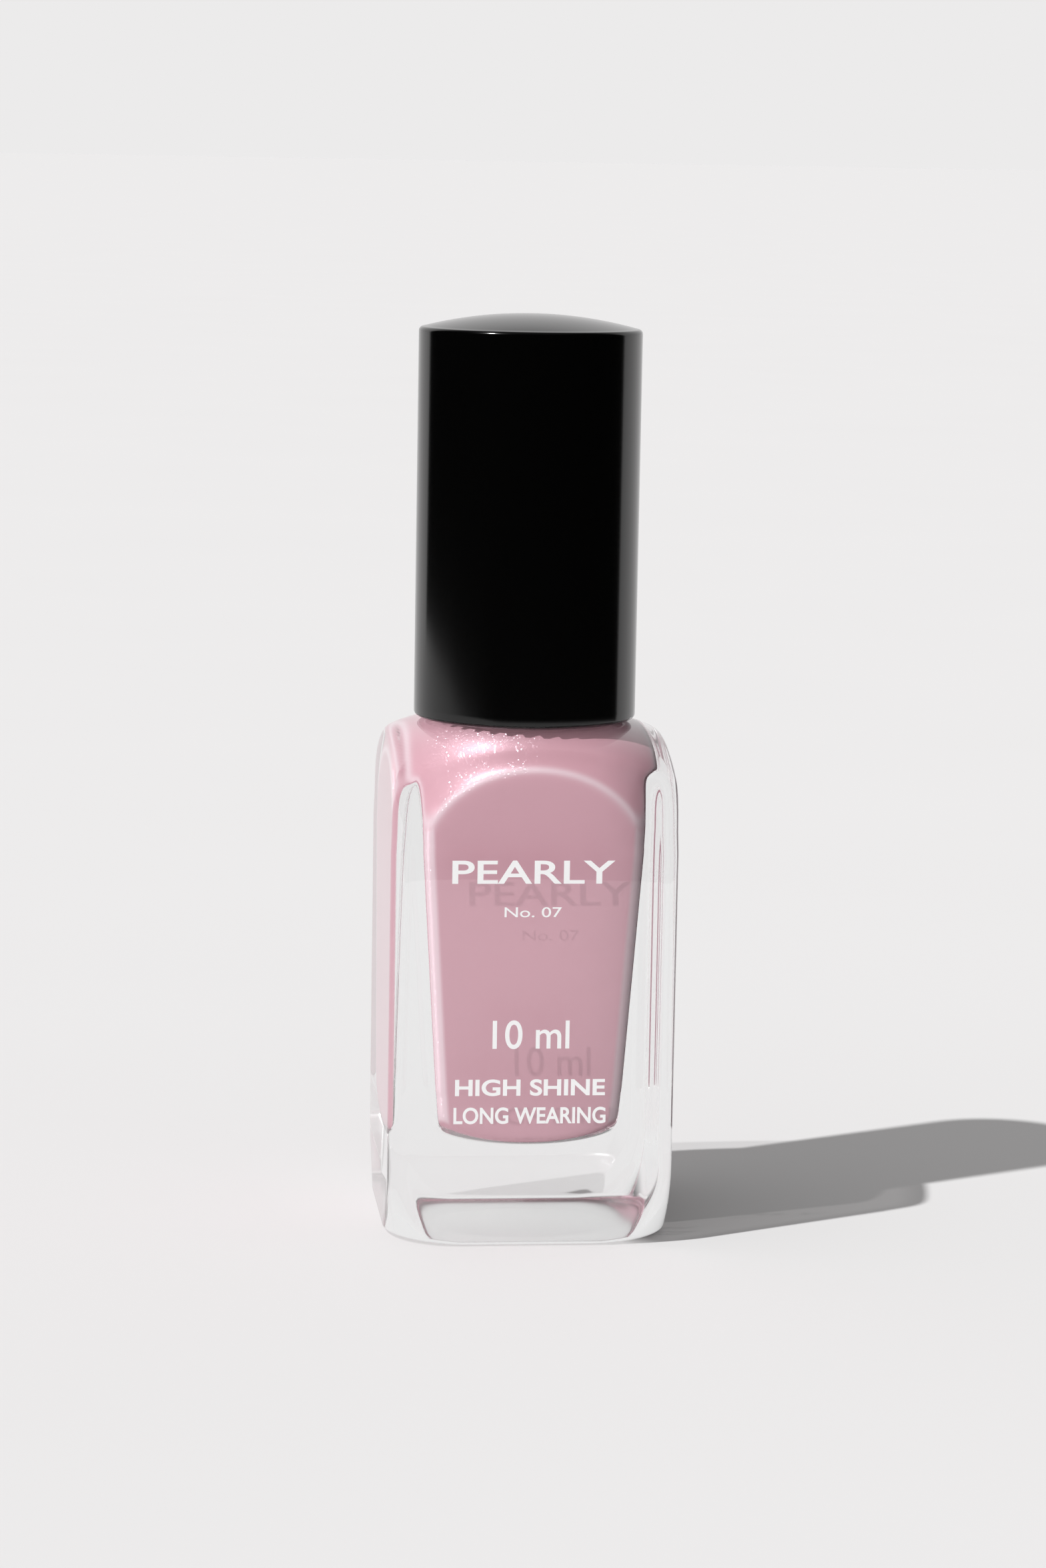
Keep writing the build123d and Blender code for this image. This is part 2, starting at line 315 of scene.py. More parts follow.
def polar_surface(name, radius, height, angles, wrap=False, painted_edge_highlight=None):
    """Mesh of a surface round Z: each row of radius, in millimetres, stands at its height, and the
    rows run so that their faces look outwards. An end row of no radius becomes a pole. A value for each
    point that masks a painted edge highlight, if given, is kept on the mesh as an attribute of that name."""
    rows, columns = radius.shape
    height = np.broadcast_to(np.asarray(height, float).reshape(rows, -1), radius.shape)
    points = np.stack([radius * np.cos(angles), radius * np.sin(angles), height], -1) * MM
    index = np.arange(rows * columns).reshape(rows, columns)
    if not wrap:
        index[0, :] = index[0, 0]
        index[-1, :] = index[-1, 0]
    below = index if wrap else index[:-1]
    over = np.roll(index, -1, 0) if wrap else index[1:]
    quads = np.stack([below, np.roll(below, -1, 1), np.roll(over, -1, 1), over], -1).reshape(-1, 4)
    loose = [list(dict.fromkeys(q)) for q in quads.tolist()]
    used, packed = np.unique(np.concatenate([np.array(f) for f in loose]), return_inverse=True)
    sizes = np.cumsum([0] + [len(f) for f in loose])
    faces = [packed[a:b].tolist() for a, b in zip(sizes[:-1], sizes[1:])]
    mesh = bpy.data.meshes.new(name)
    mesh.from_pydata(points.reshape(-1, 3)[used].tolist(), [], faces)
    if painted_edge_highlight is not None:
        mesh.attributes.new("painted_edge_highlight", "FLOAT", "POINT").data.foreach_set("value", painted_edge_highlight.ravel()[used])
    mesh.shade_smooth()
    mesh.set_sharp_from_angle(angle=math.radians(50))
    piece = bpy.data.objects.new(name, mesh)
    bpy.context.collection.objects.link(piece)
    return piece


angles = column_angles(COLUMNS)


def cavity(grow=0.0):
    """Rows of the cavity, top to bottom: heights, radii, and how near each point is to an edge, the mask of
    the lacquer's painted edge highlight. A drawn-in square prism is cut by a round shoulder, r = bore +
    A root(1 - u^2), and by a bowl, r = R (1 - (1 - v)^2.2)^(1/2.6). Nearness is exp(-((square - shoulder)
    / width)^2) where those two cross, and climbs to 1 round the prism's upright corners."""
    u = np.sin(np.linspace(math.pi / 2, 0.15, 50))
    v = np.concatenate([np.linspace(1, 0.5, 10)[:-1], 0.5 * np.linspace(1, 0, 32) ** 2])
    z = np.concatenate([SHOULDER_FOOT + (CAVITY_TOP - SHOULDER_FOOT) * u,
                        np.linspace(SHOULDER_FOOT + 1, FLOOR_Z + BOWL_RISE + 0.5, 18),
                        FLOOR_Z + BOWL_RISE * v])
    u = np.clip((z - SHOULDER_FOOT) / (CAVITY_TOP - SHOULDER_FOOT), 0, 1)
    dome = BORE_R + CAVITY_REACH * np.sqrt(1 - u ** 2) + NO_LIMIT * np.clip(1 - u * 8, 0, 1)
    v = np.clip((z - FLOOR_Z) / BOWL_RISE, 0, 1)
    bowl = BOWL_R * (1 - (1 - v) ** 2.2) ** (1 / 2.6) + NO_LIMIT * np.clip(v * 8 - 7, 0, 1)
    half = CAVITY_HALF + (z - CAVITY_MIDDLE) * CAVITY_DRAW
    square = rounded_square(angles, half[:, None], CAVITY_CORNER)
    radius = soft_min(soft_min(square, dome[:, None], CAVITY_EDGE), bowl[:, None], CAVITY_EDGE)
    radius = np.maximum(radius + grow, 0)
    radius[-1] = 0
    folded = np.abs((angles + math.pi / 4) % (math.pi / 2) - math.pi / 4)
    across = half[:, None] * np.tan(folded) - (half[:, None] - CAVITY_CORNER)
    inside = np.clip((np.minimum(dome, bowl)[:, None] - square) / EDGE_WIDTH, 0, 1)
    painted_edge_highlight = np.maximum(np.exp(-((square - dome[:, None]) / EDGE_WIDTH) ** 2),
                      np.clip(across / EDGE_WIDTH, 0, 1) * inside)
    return z, radius, painted_edge_highlight


def glass_rows():
    """Heights and radii of the whole glass surface, from the middle of the base outwards, up over the
    shoulder and neck, through the rim and back down to the cavity floor. The shoulder is the square
    cut by r = R + A (1 - u^p)^(1/p)."""
    heights, radii = [], []

    def add(z, r):
        heights.append(np.broadcast_to(z, (len(r),)))
        radii.append(r)

    dish = np.linspace(0, PUSH_UP_R, 14)[:, None]
    add(PUSH_UP * (1 - (dish[:, 0] / PUSH_UP_R) ** 2), dish + 0 * angles)
    t = np.linspace(0, 1, 8)[1:-1, None]
    bearing = rounded_square(angles, BODY_HALF - HEEL, BODY_CORNER + BASE_CORNER)
    add(0.0, (1 - t) * PUSH_UP_R + t * bearing)
    t = np.linspace(0, math.pi / 2, 12)
    z = np.concatenate([HEEL * (1 - np.cos(t)), np.linspace(HEEL, 8, 16)[1:], np.linspace(9, 34, 10)])
    half = BODY_HALF - HEEL * (1 - np.sqrt(np.clip(1 - (1 - z / HEEL).clip(0, 1) ** 2, 0, 1)))
    corner = BODY_CORNER + BASE_CORNER * np.clip(1 - z / 7, 0, 1) ** 2
    add(z, rounded_square(angles, half[:, None], corner[:, None]))
    u = np.sin(np.linspace(0.02, math.pi / 2, 44))
    z = DOME_FOOT + (SHOULDER_Z - DOME_FOOT) * u
    dome = DOME_R + DOME_REACH * np.clip(1 - u ** DOME_POWER, 0, 1) ** (1 / DOME_POWER)
    half = BODY_HALF - DRAW_IN * np.clip((z - DRAW_FOOT) / DRAW_RISE, 0, 1) ** 3
    add(z, soft_min(rounded_square(angles, half[:, None], BODY_CORNER), dome[:, None], DOME_EDGE))
    t = np.linspace(0, math.pi / 2, 8)[1:, None]
    add(NECK_FOOT_Z - NECK_FOOT_RISE * np.cos(t[:, 0]),
        NECK_FOOT_R - (NECK_FOOT_R - NECK_R) * np.sin(t) + 0 * angles)
    z = np.linspace(45.6, 51.0, 5)
    add(z, NECK_R + 0 * z[:, None] + 0 * angles)
    z = np.linspace(51.3, 57.0, 46)
    ridge = helix_ridge(angles % (2 * math.pi), z[:, None], THREAD_Z, THREAD_TURNS, THREAD_CREST,
                        THREAD_HALF)
    add(z, NECK_R + ridge)
    t = np.linspace(0, math.pi, 15)[:, None]
    lip = (NECK_R - BORE_R) / 2
    add(RIM_Z - RIM_ROUND + RIM_ROUND * np.sin(t[:, 0]), BORE_R + lip * (1 + np.cos(t)) + 0 * angles)
    z = np.linspace(RIM_Z - RIM_ROUND - 1, 44.6, 10)
    add(z, BORE_R + 0 * z[:, None] + 0 * angles)
    z, radius, painted_edge_highlight = cavity()
    add(z[4:], radius[4:])
    return np.concatenate(heights), np.concatenate(radii)


heights, radii = glass_rows()
glass = polar_surface("glass_bottle", radii, heights, angles)

flint, tree, out = new_material("flint_glass_fire_polished")
# Flint glass, fire polished: clear and colourless, with a fine stipple on the face it stands on, which
# greys the foot of the base. Shadow rays and light off matt things pass straight through it, and its
# lee side throws nearly all of its shadow, because light that leaves there is really bent down.
place = add_node(tree, "ShaderNodeTexCoord").outputs["Object"]
place = add_node(tree, "ShaderNodeSeparateXYZ", Vector=place)
stipple = add_node(tree, "ShaderNodeMapRange", in0=place.outputs["Z"], in1=0.2 * MM, in2=1.0 * MM,
                   in3=0.28, in4=0.0)
body = add_node(tree, "ShaderNodeBsdfPrincipled", Base_Color=linear("#fbfcfc"), IOR=GLASS_IOR,
                Roughness=stipple.outputs[0], Transmission_Weight=1.0)
path = add_node(tree, "ShaderNodeLightPath")
lee = add_node(tree, "ShaderNodeMapRange", in0=place.outputs["X"], in1=8 * MM, in2=10.5 * MM)
lee = add_node(tree, "ShaderNodeMix", {"data_type": "RGBA"}, in0=lee.outputs[0], in6=[0.86, 0.86, 0.86, 1],
               in7=[0.12, 0.115, 0.115, 1])
clear = add_node(tree, "ShaderNodeBsdfTransparent", Color=lee.outputs[2])
unseen = add_node(tree, "ShaderNodeMath", {"operation": "MAXIMUM"}, in0=path.outputs["Is Shadow Ray"],
                  in1=path.outputs["Is Diffuse Ray"])
both = add_node(tree, "ShaderNodeMixShader", in0=unseen.outputs[0], in1=body.outputs[0],
                in2=clear.outputs[0])
tree.links.new(both.outputs[0], out.inputs[0])
glass.data.materials.append(flint)
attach(glass, "bottle")
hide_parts("bottle")


# ---- Lacquer
# Nitrocellulose nail lacquer with mica pearl, filled to just under the neck. It wets the glass, so
# its skin follows the cavity with no air between, and its level lies flat.
FILL_Z = 46.0
WETTING = 0.02

# The cavity's edge mask rides on the lacquer's skin, where it places the painted edge highlight.
z, radius, painted_edge_highlight = cavity(grow=WETTING)
z, radius = np.concatenate([[FILL_Z, FILL_Z, FILL_Z, CAVITY_TOP + 1], z[4:]]), radius[4:]
level = np.array([0, 0.5, 0.93, 1])[:, None] * (BORE_R + WETTING + 0 * angles)
painted_edge_highlight = np.concatenate([0 * level, painted_edge_highlight[4:]])[::-1]
liquid = polar_surface("lacquer_fill", np.concatenate([level, radius])[::-1], z[::-1], angles, painted_edge_highlight=painted_edge_highlight)

pearl, tree, out = new_material("nail_lacquer_pearl_pink")
# Milky pink lacquer with fine mica. Its solvent bends light less than glass does, so that where it is
# met at a shallow angle the wall turns to a mirror and the lacquer's edges are drawn in silver. Along
# the chamber's tight edges the colour is painted paler, a painted highlight for the light that the
# glass's rounded corners and shoulder bend on to them, and a few large flakes, each tilted its own
# way, glint where the lamp strikes the shoulder.
SOLVENT_IOR = 1.42
FLAKES_PER_METRE = 10000
FLAKE_TILT = 0.44
FLAKE_SHARE = 0.03
MICA_SHARE = 0.1
PAINTED_EDGE_HIGHLIGHT = 0.5
# Painted highlight: the milk colour is painted paler where the cavity's edge mask is high.
painted_edge_highlight = add_node(tree, "ShaderNodeAttribute", {"attribute_name": "painted_edge_highlight"})
painted_edge_highlight = add_node(tree, "ShaderNodeMath", {"operation": "MULTIPLY"}, in0=painted_edge_highlight.outputs["Fac"],
                in1=PAINTED_EDGE_HIGHLIGHT)
painted_edge_tint = add_node(tree, "ShaderNodeMix", {"data_type": "RGBA"}, in0=painted_edge_highlight.outputs[0],
                in6=linear("#d7a5b1"), in7=linear("#fbf1f6"))
milk = add_node(tree, "ShaderNodeBsdfDiffuse", Color=painted_edge_tint.outputs[2])
mica = add_node(tree, "ShaderNodeBsdfAnisotropic", Color=linear("#f4d9e6"), Roughness=0.38)
milk = add_node(tree, "ShaderNodeMixShader", in0=MICA_SHARE, in1=milk.outputs[0], in2=mica.outputs[0])
flakes = add_node(tree, "ShaderNodeTexVoronoi", Scale=FLAKES_PER_METRE,
                  Vector=add_node(tree, "ShaderNodeTexCoord").outputs["Object"])
tilt = add_node(tree, "ShaderNodeVectorMath", {"operation": "MULTIPLY_ADD"}, in0=flakes.outputs["Color"],
                in1=[FLAKE_TILT] * 3, in2=[-FLAKE_TILT / 2] * 3)
facing = add_node(tree, "ShaderNodeVectorMath", {"operation": "ADD"}, in0=tilt.outputs[0],
                  in1=add_node(tree, "ShaderNodeNewGeometry").outputs["Normal"])
facing = add_node(tree, "ShaderNodeVectorMath", {"operation": "NORMALIZE"}, in0=facing.outputs[0])
flake = add_node(tree, "ShaderNodeBsdfAnisotropic", Color=linear("#fbeef6"), Roughness=0.2,
                 Normal=facing.outputs[0])
milk = add_node(tree, "ShaderNodeMixShader", in0=FLAKE_SHARE, in1=milk.outputs[0], in2=flake.outputs[0])
mirror = add_node(tree, "ShaderNodeBsdfAnisotropic", Color=[1, 1, 1, 1], Roughness=0.0)
grazing = add_node(tree, "ShaderNodeFresnel", IOR=SOLVENT_IOR / GLASS_IOR)
body = add_node(tree, "ShaderNodeMixShader", in0=grazing.outputs[0], in1=milk.outputs[0],
                in2=mirror.outputs[0])
tree.links.new(body.outputs[0], out.inputs[0])
liquid.data.materials.append(pearl)
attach(liquid, "bottle")
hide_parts("lacquer")


# ---- Print
# White UV-cured ink, screen printed straight on the front face: a film with no thickness to speak of.
# Five plain lines of wording, each a flat sheet that stands just proud of the glass.
PRINT_X = -0.25
PRINT_LIFT = 0.015
PRINT_LINES = [
    # words, capital height, width, height of its middle, stroke added
    ("PEARLY", 2.0, 13.9, 32.65, 0.012),
    ("No. 07", 0.86, 4.9, 29.2, 0.004),
    ("10 ml", 2.45, 6.6, 18.6, 0.008),
    ("HIGH SHINE", 1.46, 12.9, 13.95, 0.026),
    ("LONG WEARING", 1.46, 13.1, 11.5, 0.022),
]


def printed_line(name, words, capital, width, middle_z, stroke):
    """One line of built-in lettering, made a mesh and stretched to its printed height and width."""
    curve = bpy.data.curves.new(name, "FONT")
    curve.body = words
    curve.offset = stroke
    lettering = bpy.data.objects.new(name, curve)
    bpy.context.collection.objects.link(lettering)
    bpy.context.view_layer.update()
    mesh = bpy.data.meshes.new_from_object(lettering.evaluated_get(bpy.context.evaluated_depsgraph_get()))
    bpy.data.objects.remove(lettering)
    points = np.zeros(3 * len(mesh.vertices))
    mesh.vertices.foreach_get("co", points)
    x, y = points.reshape(-1, 3)[:, :2].T
    low, high = (min(y), max(y)) if words.isupper() else (0, max(y))
    x = (x - (min(x) + max(x)) / 2) * width / (max(x) - min(x)) + PRINT_X
    z = (y - (low + high) / 2) * capital / (high - low) + middle_z
    points = np.stack([x, np.full(x.shape, -BODY_HALF - PRINT_LIFT), z], 1) * MM
    mesh.vertices.foreach_set("co", points.ravel())
    mesh.materials.clear()
    mesh.materials.append(ink)
    line = bpy.data.objects.new(name, mesh)
    bpy.context.collection.objects.link(line)
    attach(line, "bottle")
    return line


ink, tree, out = new_material("uv_ink_white_satin")
# Opaque white ink, satin, with the faint mottle that a screen's mesh leaves in the film.
place = add_node(tree, "ShaderNodeTexCoord").outputs["Object"]
mesh_mark = add_node(tree, "ShaderNodeTexNoise", Scale=9000.0, Detail=1.0, Vector=place)
shade = add_node(tree, "ShaderNodeMapRange", in0=mesh_mark.outputs["Fac"], in3=0.93, in4=1.0)
white = add_node(tree, "ShaderNodeMix", {"data_type": "RGBA", "blend_type": "MULTIPLY"}, in0=1.0,
                 in6=linear("#fbfbfb"), in7=shade.outputs[0])
body = add_node(tree, "ShaderNodeBsdfPrincipled", Base_Color=white.outputs[2], Roughness=0.45, IOR=1.5)
tree.links.new(body.outputs[0], out.inputs[0])
for number, (words, capital, width, middle_z, stroke) in enumerate(PRINT_LINES, 1):
    printed_line(f"print_line_{number}", words, capital, width, middle_z, stroke)


# ---- Overcap
# Injection moulded ABS, high gloss black: a straight tube with a slightly domed roof. The lower ends of
# six ribs inside stop against the inner cap when the overcap is pressed on.
CAP_R = 9.65
CAP_Z = 44.4
CAP_RIM_Z = 78.0
CAP_DOME = 1.3
CAP_EDGE = 0.4
CAP_BORE_R = 8.65
ROOF_Z = 76.8
STOP_Z = 60.48
RIBS = 6
RIB_HALF = 0.45
RIB_DEPTH = 0.9


def cap_rows(angles):
    """Heights and radii of the cap, from the middle of its roof down outside and back up inside. The
    ribs are where the bore's radius drops by their depth, within half a rib's width of their angle."""
    heights, radii = [], []
    sphere = (CAP_R ** 2 + CAP_DOME ** 2) / (2 * CAP_DOME)
    r = np.linspace(0, CAP_R - CAP_EDGE, 24)
    heights.append(CAP_RIM_Z + CAP_DOME - sphere + np.sqrt(sphere ** 2 - r ** 2))
    radii.append(r)
    t = np.linspace(0.15, 1, 9) * math.pi / 2
    heights.append(heights[0][-1] - CAP_EDGE * (1 - np.cos(t)))
    radii.append(CAP_R - CAP_EDGE * (1 - np.sin(t)))
    heights.append(np.linspace(CAP_RIM_Z - 1, CAP_Z + 1, 12))
    radii.append(np.full(12, CAP_R))
    t = np.linspace(0, math.pi, 13)
    wall = (CAP_R - CAP_BORE_R) / 2
    heights.append(CAP_Z + CAP_EDGE * (1 - np.sin(t)))
    radii.append(CAP_BORE_R + wall * (1 + np.cos(t)))
    heights.append(np.array([CAP_Z + 2, 58, STOP_Z - 0.01, STOP_Z, 68, ROOF_Z - 0.3, ROOF_Z, ROOF_Z]))
    radii.append(np.array([CAP_BORE_R] * 6 + [CAP_BORE_R - 0.3, 0]))
    z = np.concatenate(heights)
    radius = np.concatenate(radii)[:, None] + 0 * angles
    folded = (angles + math.pi / RIBS) % (2 * math.pi / RIBS) - math.pi / RIBS
    ribbed = np.abs(np.sin(folded)) * CAP_BORE_R <= RIB_HALF + 0.01
    radius[-5:-1] = np.where(ribbed, np.minimum(radius[-5:-1], CAP_BORE_R - RIB_DEPTH), radius[-5:-1])
    return z[::-1], radius[::-1]


cap_angles = np.linspace(0, 2 * math.pi, 240, endpoint=False)
sides = np.arcsin(RIB_HALF / CAP_BORE_R)
starts = np.arange(RIBS) * 2 * math.pi / RIBS
rib_edges = [starts + side for side in (-sides - 0.004, -sides, sides, sides + 0.004)]
cap_angles = np.unique(np.concatenate([cap_angles] + rib_edges).round(6) % (2 * math.pi))
heights, radii = cap_rows(cap_angles)
overcap = polar_surface("overcap_gloss", radii, heights, cap_angles)
gloss_black, tree, out = new_material("abs_gloss_black")
# ABS from a polished mould: deep black under a hard, clean gloss.
body = add_node(tree, "ShaderNodeBsdfPrincipled", Base_Color=linear("#030303"), Roughness=0.13, IOR=1.5)
tree.links.new(body.outputs[0], out.inputs[0])
overcap.data.materials.append(gloss_black)
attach(overcap, "cap")
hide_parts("overcap")


# ---- Inner cap
# Injection moulded polypropylene, black: a skirt with the thread inside, a top plate with the hole that
# takes the stem's head, and 36 straight splines outside that the overcap is pressed over.
INNER_Z = 44.8
INNER_TOP = 60.48
INNER_PLATE_Z = 59.28
INNER_WALL_R = 8.2
INNER_ROOT_R = 7.6
INNER_THREAD = 0.82
INNER_THREAD_Z = 52.6 - THREAD_PITCH * 0.75 + 0.24
INNER_HOLE_R = 1.95
SPLINES = 36
SPLINE_HALF = 0.275
SPLINE_R = 8.64


def inner_cap_rows(angles):
    """Heights and radii of the whole skin, closed on itself: up the splined outside, in over the plate,
    down its hole, out under the plate and down the threaded inside."""
    folded = (angles + math.pi / SPLINES) % (2 * math.pi / SPLINES) - math.pi / SPLINES
    crest = np.clip((0.05 + SPLINE_HALF - np.abs(folded) * INNER_WALL_R) / 0.05, 0, 1)
    splined = INNER_WALL_R + (SPLINE_R - INNER_WALL_R) * crest
    outside = np.array([INNER_Z, INNER_Z + 0.15, 52, INNER_TOP - 0.2, INNER_TOP])
    rows = [splined - 0.15, splined, splined, splined, splined - 0.2]
    inside = np.linspace(57.2, 50.6, 53)
    turned = (angles + math.pi / 2) % (2 * math.pi)
    ridge = helix_ridge(turned, inside[:, None], INNER_THREAD_Z, THREAD_TURNS, INNER_THREAD,
                        THREAD_HALF)
    radii = [np.array(rows), np.array([[INNER_HOLE_R + 0.15], [INNER_HOLE_R], [INNER_HOLE_R]]) + 0 * angles,
             np.full((2, len(angles)), INNER_ROOT_R - 0.3), np.full((1, len(angles)), INNER_ROOT_R),
             INNER_ROOT_R - ridge, np.full((2, len(angles)), INNER_ROOT_R),
             np.full((1, len(angles)), INNER_ROOT_R + 0.15)]
    radii[2][0] = INNER_HOLE_R + 0.2
    z = np.concatenate([outside, [INNER_TOP, INNER_TOP - 0.15, INNER_PLATE_Z],
                        [INNER_PLATE_Z, INNER_PLATE_Z], [INNER_PLATE_Z - 0.3], inside,
                        [48, INNER_Z + 0.15], [INNER_Z]])
    return z, np.concatenate(radii)


spline_angles = np.linspace(0, 2 * math.pi, 36 * 14, endpoint=False)
heights, radii = inner_cap_rows(spline_angles)
inner_cap = polar_surface("inner_cap_threaded", radii, heights, spline_angles, wrap=True)
pp_black, tree, out = new_material("polypropylene_satin_black")
# Polypropylene straight from a fine-eroded mould: soft satin black with a little grain in the gloss.
place = add_node(tree, "ShaderNodeTexCoord").outputs["Object"]
grain = add_node(tree, "ShaderNodeTexNoise", Scale=4000.0, Detail=2.0, Vector=place)
gloss = add_node(tree, "ShaderNodeMapRange", in0=grain.outputs["Fac"], in3=0.36, in4=0.5)
relief = add_node(tree, "ShaderNodeBump", Strength=0.12, Distance=0.00002, Height=grain.outputs["Fac"])
body = add_node(tree, "ShaderNodeBsdfPrincipled", Base_Color=linear("#161617"), IOR=1.49,
                Roughness=gloss.outputs[0], Normal=relief.outputs[0])
tree.links.new(body.outputs[0], out.inputs[0])
inner_cap.data.materials.append(pp_black)
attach(inner_cap, "cap")
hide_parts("inner_cap")


# ---- Brush stem
# Low-density polyethylene, black, moulded in one: a snap head, the flange that seals on the glass rim,
# a plug that wipes the bore, and the tapered rod with the socket for the bristles at its end.
STEM = [
    # radius, height, and how much the corner there is rounded
    (0, 61.63, 0), (1.4, 61.63, 0.25), (2.3, 60.83, 0.08), (2.3, 60.53, 0.08), (1.9, 60.53, 0),
    (1.9, 59.23, 0.1), (6.5, 59.23, 0.2), (6.5, 58.33, 0.2), (4.05, 58.33, 0.05), (4.05, 56.8, 0.25),
    (3.35, 56.1, 0.25), (1.75, 54.6, 0.4), (1.45, 26.0, 0.12), (1.05, 26.0, 0.04), (1.05, 30.0, 0.1),
    (0, 30.0, 0),
]


def rounded_profile(corners, steps=4):
    """Points along a line whose corners are rounded: each is a quadratic curve, which leaves the line
    at the given distance before its corner and joins it at the same distance after."""
    points = []
    for k, (r, z, rounding) in enumerate(corners):
        here = np.array([r, z], float)
        if rounding == 0:
            points.append(here)
            continue
        before, after = (np.array(corners[k + side][:2], float) for side in (-1, 1))
        reach = [min(rounding, 0.45 * np.linalg.norm(p - here)) for p in (before, after)]
        start, end = (here + (p - here) / np.linalg.norm(p - here) * d
                      for p, d in zip((before, after), reach))
        for t in np.linspace(0, 1, steps + 1):
            points.append((1 - t) ** 2 * start + 2 * t * (1 - t) * here + t ** 2 * end)
    return np.array(points)


stem_angles = np.linspace(0, 2 * math.pi, 96, endpoint=False)
profile = rounded_profile(STEM)[::-1]
stem = polar_surface("brush_stem_moulded", profile[:, :1] + 0 * stem_angles, profile[:, 1], stem_angles)
pe_black, tree, out = new_material("polyethylene_satin_black")
# Soft polyethylene: waxy satin black, a shade greyer than the cap, glossier where lacquer has wet it.
place = add_node(tree, "ShaderNodeTexCoord").outputs["Object"]
grain = add_node(tree, "ShaderNodeTexNoise", Scale=3000.0, Detail=2.0, Vector=place)
height = add_node(tree, "ShaderNodeSeparateXYZ", Vector=place).outputs["Z"]
wet = add_node(tree, "ShaderNodeMapRange", in0=height, in1=FILL_Z * MM, in2=(FILL_Z + 3) * MM,
               in3=0.12, in4=0.42)
relief = add_node(tree, "ShaderNodeBump", Strength=0.1, Distance=0.00002, Height=grain.outputs["Fac"])
body = add_node(tree, "ShaderNodeBsdfPrincipled", Base_Color=linear("#1a1a1b"), IOR=1.51,
                Roughness=wet.outputs[0], Normal=relief.outputs[0])
tree.links.new(body.outputs[0], out.inputs[0])
stem.data.materials.append(pe_black)
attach(stem, "brush")
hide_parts("brush_stem")


# ---- Tuft staple
# Hard-drawn brass wire, flattened and cut: it is driven across the socket over the folded bristles.
# The CAD's own solid stays, because it is already the true shape.
brass, tree, out = new_material("drawn_brass")
# Drawn brass: warm yellow, with fine lines along the wire that spread the gloss.
place = add_node(tree, "ShaderNodeTexCoord").outputs["Object"]
along = add_node(tree, "ShaderNodeMapping", Vector=place, Scale=[400, 9000, 9000])
lines = add_node(tree, "ShaderNodeTexNoise", Scale=1.0, Detail=2.0, Vector=along.outputs[0])
gloss = add_node(tree, "ShaderNodeMapRange", in0=lines.outputs["Fac"], in3=0.22, in4=0.4)
body = add_node(tree, "ShaderNodeBsdfPrincipled", Base_Color=linear("#d9bd75"), Metallic=1.0,
                Roughness=gloss.outputs[0])
tree.links.new(body.outputs[0], out.inputs[0])
staple = frame["nodes"]["tuft_staple"]
staple.data.materials.clear()
staple.data.materials.append(brass)


# ---- Bristles
# Nylon filaments, 380 of them, black, 0.11 mm thick, folded over the staple and packed in the socket. They
# spread to a belly and draw in to a soft round tip, with lacquer between them.
FILAMENTS = 380
FILAMENT_R = 0.055
TUFT_TOP = 30.0
SOCKET_Z = 26.0
TUFT_TIP = 10.4
PACKED_R = 0.98
BELLY_R = 1.84
SIDES = 5
RINGS = 10


def bristles():
    """Filaments as one mesh. Filament k stands at the sunflower point of share root((k + 1/2) / n) and
    angle 2.39996 k. At a share t of the way down from the socket its radius is its own share times
    packed + (belly - packed) sin(pi t^1.1 / 1.45), with a slow wander, and it ends at the round tip,
    z = tip + 0.1 + 3.2 share^2.5, or a little above."""
    share = np.sqrt((np.arange(FILAMENTS) + 0.5) / FILAMENTS)[:, None]
    angle = 2.39996 * np.arange(FILAMENTS)[:, None]
    jitter = np.random.default_rng(7).normal(0, 1, (FILAMENTS, 3))
    end_z = TUFT_TIP + 0.1 + 3.2 * share ** 2.5 + 0.25 * np.abs(jitter[:, :1])
    drop = np.concatenate([[0, 0.5], 0.5 + 0.5 * np.linspace(0, 1, RINGS - 1)[1:]])[None]
    z = np.where(drop < 0.5, TUFT_TOP - (TUFT_TOP - SOCKET_Z) * drop * 2,
                 SOCKET_Z + (end_z - SOCKET_Z) * (drop * 2 - 1))
    t = np.clip((SOCKET_Z - z) / (SOCKET_Z - TUFT_TIP), 0, 1)
    spread = PACKED_R + (BELLY_R - PACKED_R) * np.sin(math.pi * t ** 1.1 / 1.45)
    r = np.minimum(share * spread, spread - FILAMENT_R)
    wander = 0.03 * np.sin(2.2 * t + jitter[:, 1:2] * 3) * t
    r = r + wander * (share < 0.9)
    x, y = r * np.cos(angle), r * np.sin(angle)
    round_it = 2 * math.pi * np.arange(SIDES) / SIDES
    thick = FILAMENT_R * np.where(drop > 0.97, 0.45, 1)
    points = np.stack([x[..., None] + thick[..., None] * np.cos(round_it),
                       y[..., None] + thick[..., None] * np.sin(round_it),
                       z[..., None] + 0 * round_it], -1)
    rings = points.shape[1]
    index = np.arange(FILAMENTS * rings * SIDES).reshape(FILAMENTS, rings, SIDES)
    upper, lower = index[:, :-1], index[:, 1:]
    walls = np.stack([lower, np.roll(lower, -1, 2), np.roll(upper, -1, 2), upper], -1).reshape(-1, 4)
    tops, tips = index[:, 0], index[:, -1, ::-1]
    mesh = bpy.data.meshes.new("bristle_tuft")
    faces = walls.tolist() + tops.tolist() + tips.tolist()
    mesh.from_pydata((points.reshape(-1, 3) * MM).tolist(), [], faces)
    mesh.shade_smooth()
    mesh.set_sharp_from_angle(angle=math.radians(60))
    return mesh


tuft = bpy.data.objects.new("bristle_tuft", bristles())
bpy.context.collection.objects.link(tuft)
nylon, tree, out = new_material("nylon_filament_black")
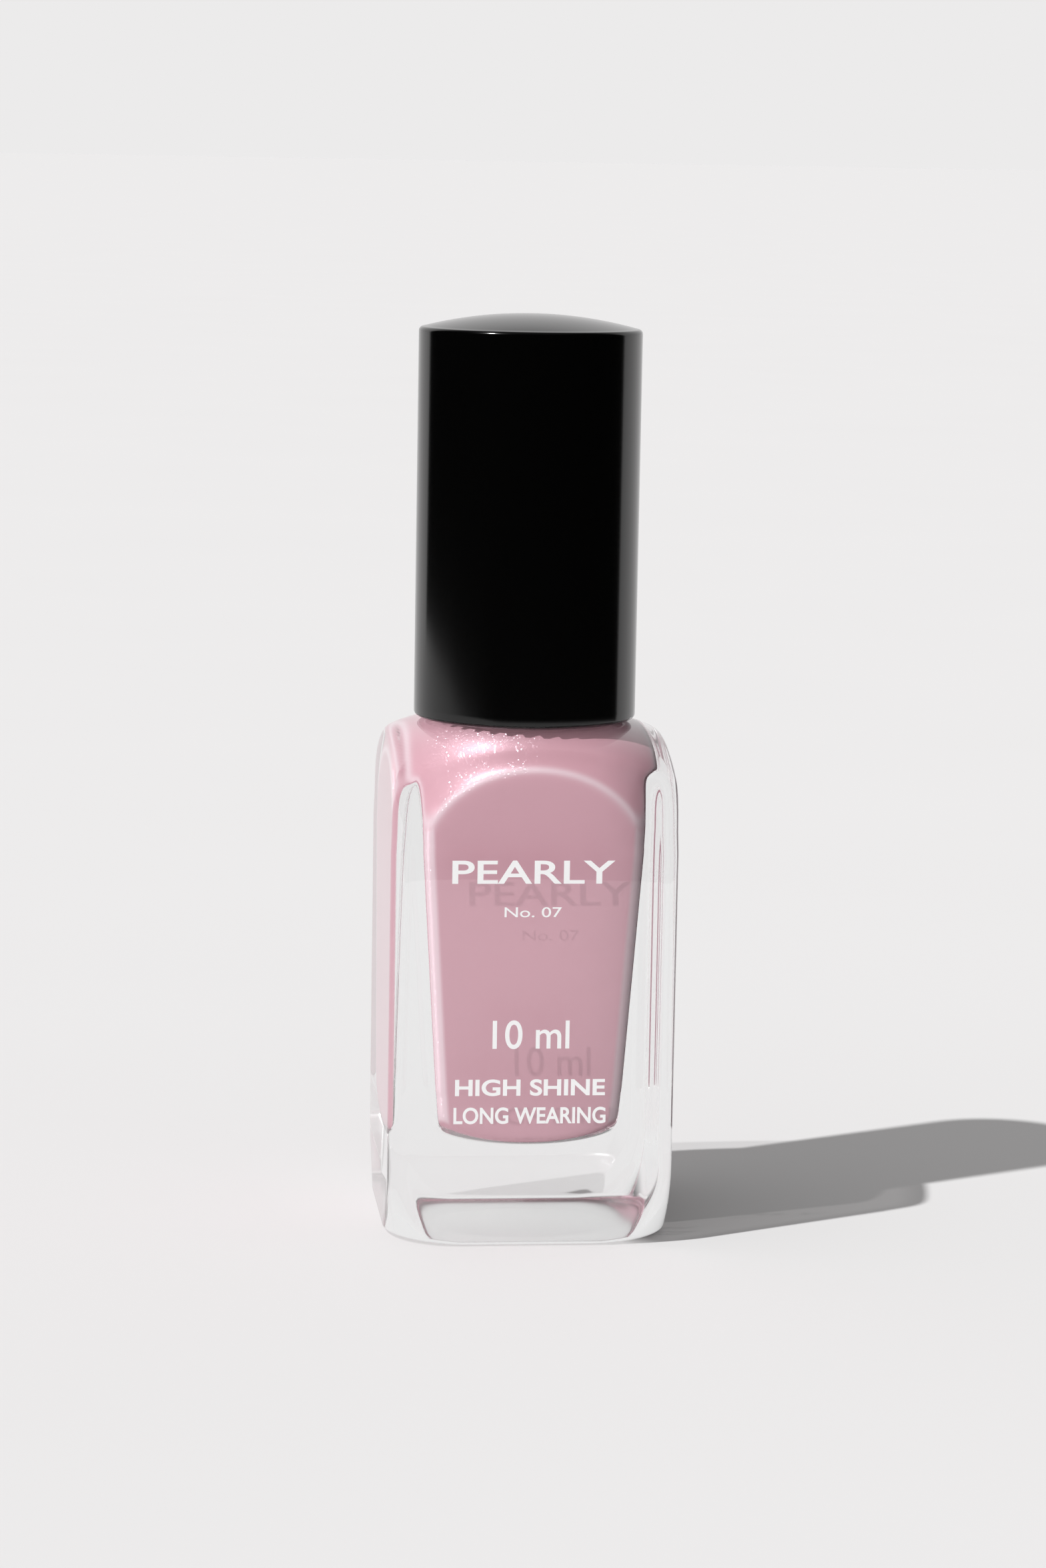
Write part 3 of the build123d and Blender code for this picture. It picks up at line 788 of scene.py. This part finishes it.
# Extruded nylon 6.12: glassy black threads, with a streak of drawn gloss and pink lacquer held between.
place = add_node(tree, "ShaderNodeTexCoord").outputs["Object"]
along = add_node(tree, "ShaderNodeMapping", Vector=place, Scale=[5000, 5000, 250])
streak = add_node(tree, "ShaderNodeTexNoise", Scale=1.0, Detail=1.0, Vector=along.outputs[0])
height = add_node(tree, "ShaderNodeSeparateXYZ", Vector=place).outputs["Z"]
loaded = add_node(tree, "ShaderNodeMapRange", in0=height, in1=17 * MM, in2=24 * MM, in3=0.62, in4=0.0)
held = add_node(tree, "ShaderNodeMath", {"operation": "MULTIPLY"}, in0=loaded.outputs[0],
                in1=streak.outputs["Fac"])
tone = add_node(tree, "ShaderNodeMix", {"data_type": "RGBA"}, in0=held.outputs[0], in6=linear("#191516"),
                in7=linear("#dba8b4"))
body = add_node(tree, "ShaderNodeBsdfPrincipled", Base_Color=tone.outputs[2], Roughness=0.22, IOR=1.53)
tree.links.new(body.outputs[0], out.inputs[0])
tuft.data.materials.append(nylon)
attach(tuft, "brush")
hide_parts("brush_tuft")


# ---- Mixing balls
# Two ball-bearing balls of stainless steel, 4 mm, loose in the lacquer. The CAD's spheres stay.
steel, tree, out = new_material("stainless_steel_lapped")
# Lapped stainless steel: a near mirror, faintly hazed by fine scratches from rolling on glass.
place = add_node(tree, "ShaderNodeTexCoord").outputs["Object"]
haze = add_node(tree, "ShaderNodeTexNoise", Scale=2500.0, Detail=4.0, Vector=place)
gloss = add_node(tree, "ShaderNodeMapRange", in0=haze.outputs["Fac"], in3=0.06, in4=0.2)
body = add_node(tree, "ShaderNodeBsdfPrincipled", Base_Color=linear("#d6d6d8"), Metallic=1.0,
                Roughness=gloss.outputs[0])
tree.links.new(body.outputs[0], out.inputs[0])
for name in ("mixing_ball_1", "mixing_ball_2"):
    ball = frame["nodes"][name]
    ball.data.materials.clear()
    ball.data.materials.append(steel)
    ball.data.shade_smooth()


# ---- Light groups
# The key lights the lacquer from inside the glass, where its light has bent, and all the rest in air.
# Glass, cap and floor throw no shadow on the lacquer there, and the print throws none off the side.
for thing in bpy.context.scene.objects:
    if thing.type == "MESH" and thing != liquid:
        in_air.objects.link(thing)
    if thing.type == "MESH" and thing not in (glass, overcap, floor):
        casts_on_lacquer.objects.link(thing)
        if not thing.name.startswith("print"):
            casts_off_side.objects.link(thing)
in_glass.objects.link(liquid)
